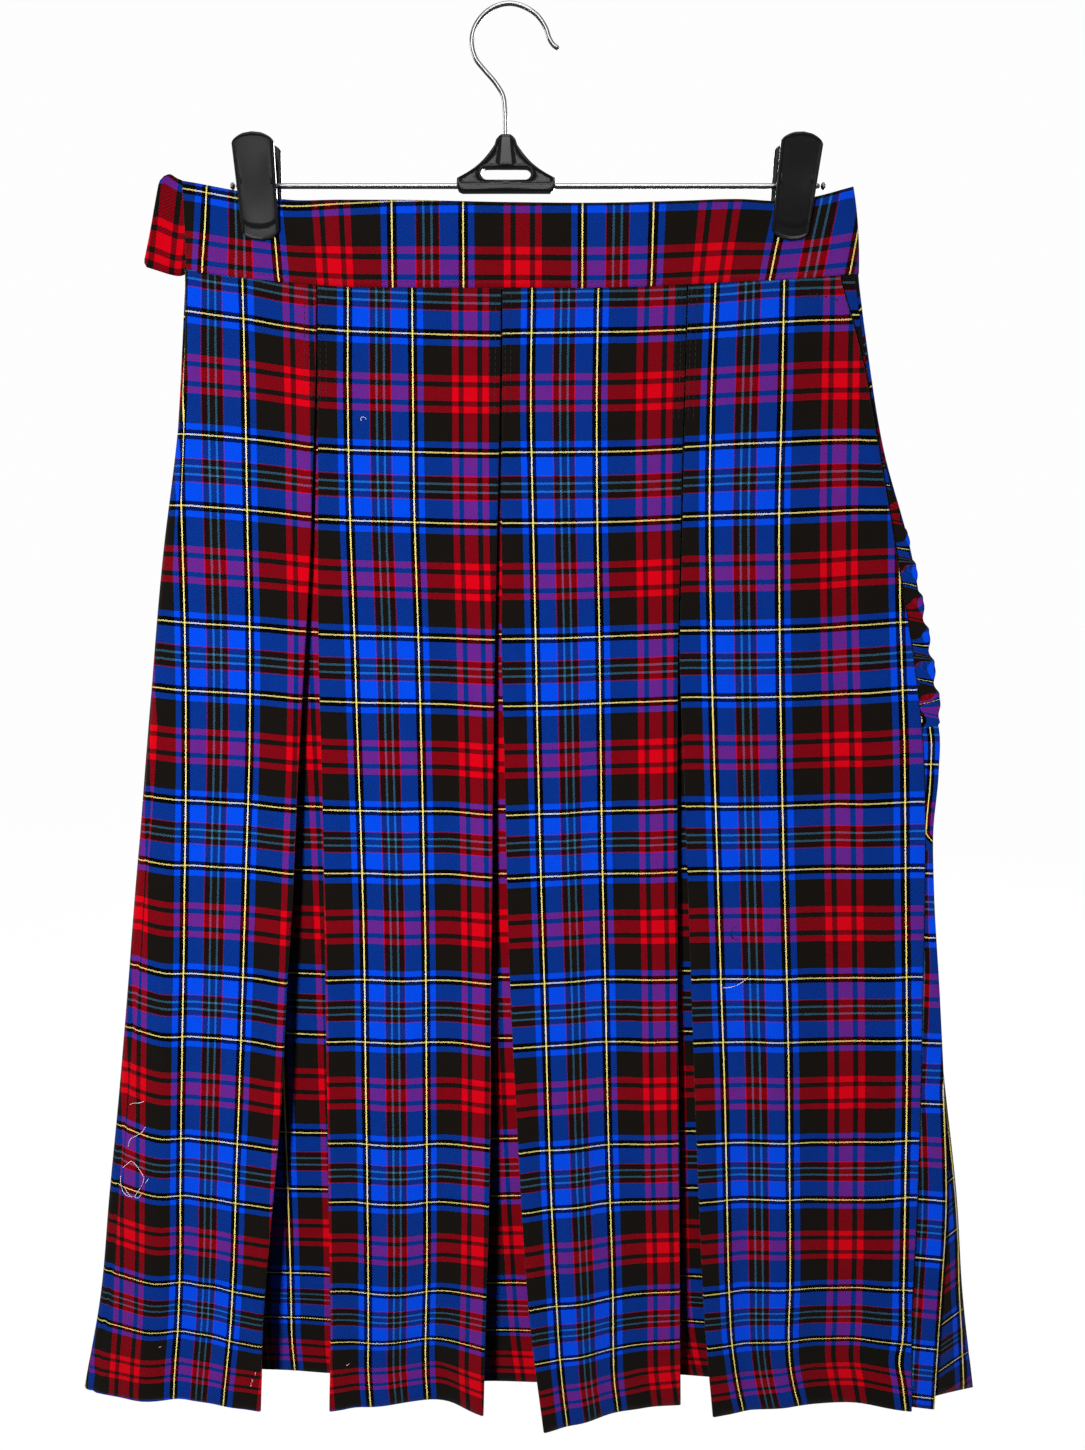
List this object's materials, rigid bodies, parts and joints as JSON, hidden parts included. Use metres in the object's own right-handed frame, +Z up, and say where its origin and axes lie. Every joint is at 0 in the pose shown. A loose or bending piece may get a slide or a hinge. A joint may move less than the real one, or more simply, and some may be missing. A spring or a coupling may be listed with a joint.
{
  "type": "plaid skirt on a clip hanger",
  "caption": "Mid-length box-pleated plaid skirt with a sewn waistband, hung flat by two clips from a steel and plastic hanger.",
  "frame": {"origin": "inner top of the hanger's hook, where it hangs on a rail", "axes": "Z up, the skirt's front faces -Y, X across its width to the viewer's right"},
  "size_m": [0.5956, 0.0914, 0.8566],
  "materials": {
    "plaid_cloth": "brushed wool-look twill, matt",
    "black_plastic": "glossy black moulded plastic",
    "bright_steel": "plated steel wire and bar"
  },
  "bodies": {
    "root": {"skirt_front": "plaid_cloth", "skirt_back": "plaid_cloth", "side_placket": "plaid_cloth", "waistband_front": "plaid_cloth", "waistband_back": "plaid_cloth", "waistband_tab": "plaid_cloth", "hanger_block": "black_plastic", "clip_left_front": "black_plastic", "clip_left_rear": "black_plastic", "clip_right_front": "black_plastic", "clip_right_rear": "black_plastic", "hook_wire": "bright_steel", "hanger_bar": "bright_steel", "bar_cap_left": "bright_steel", "bar_cap_right": "bright_steel", "clip_left_spring": "bright_steel", "clip_right_spring": "bright_steel"}
  },
  "joints": []
}
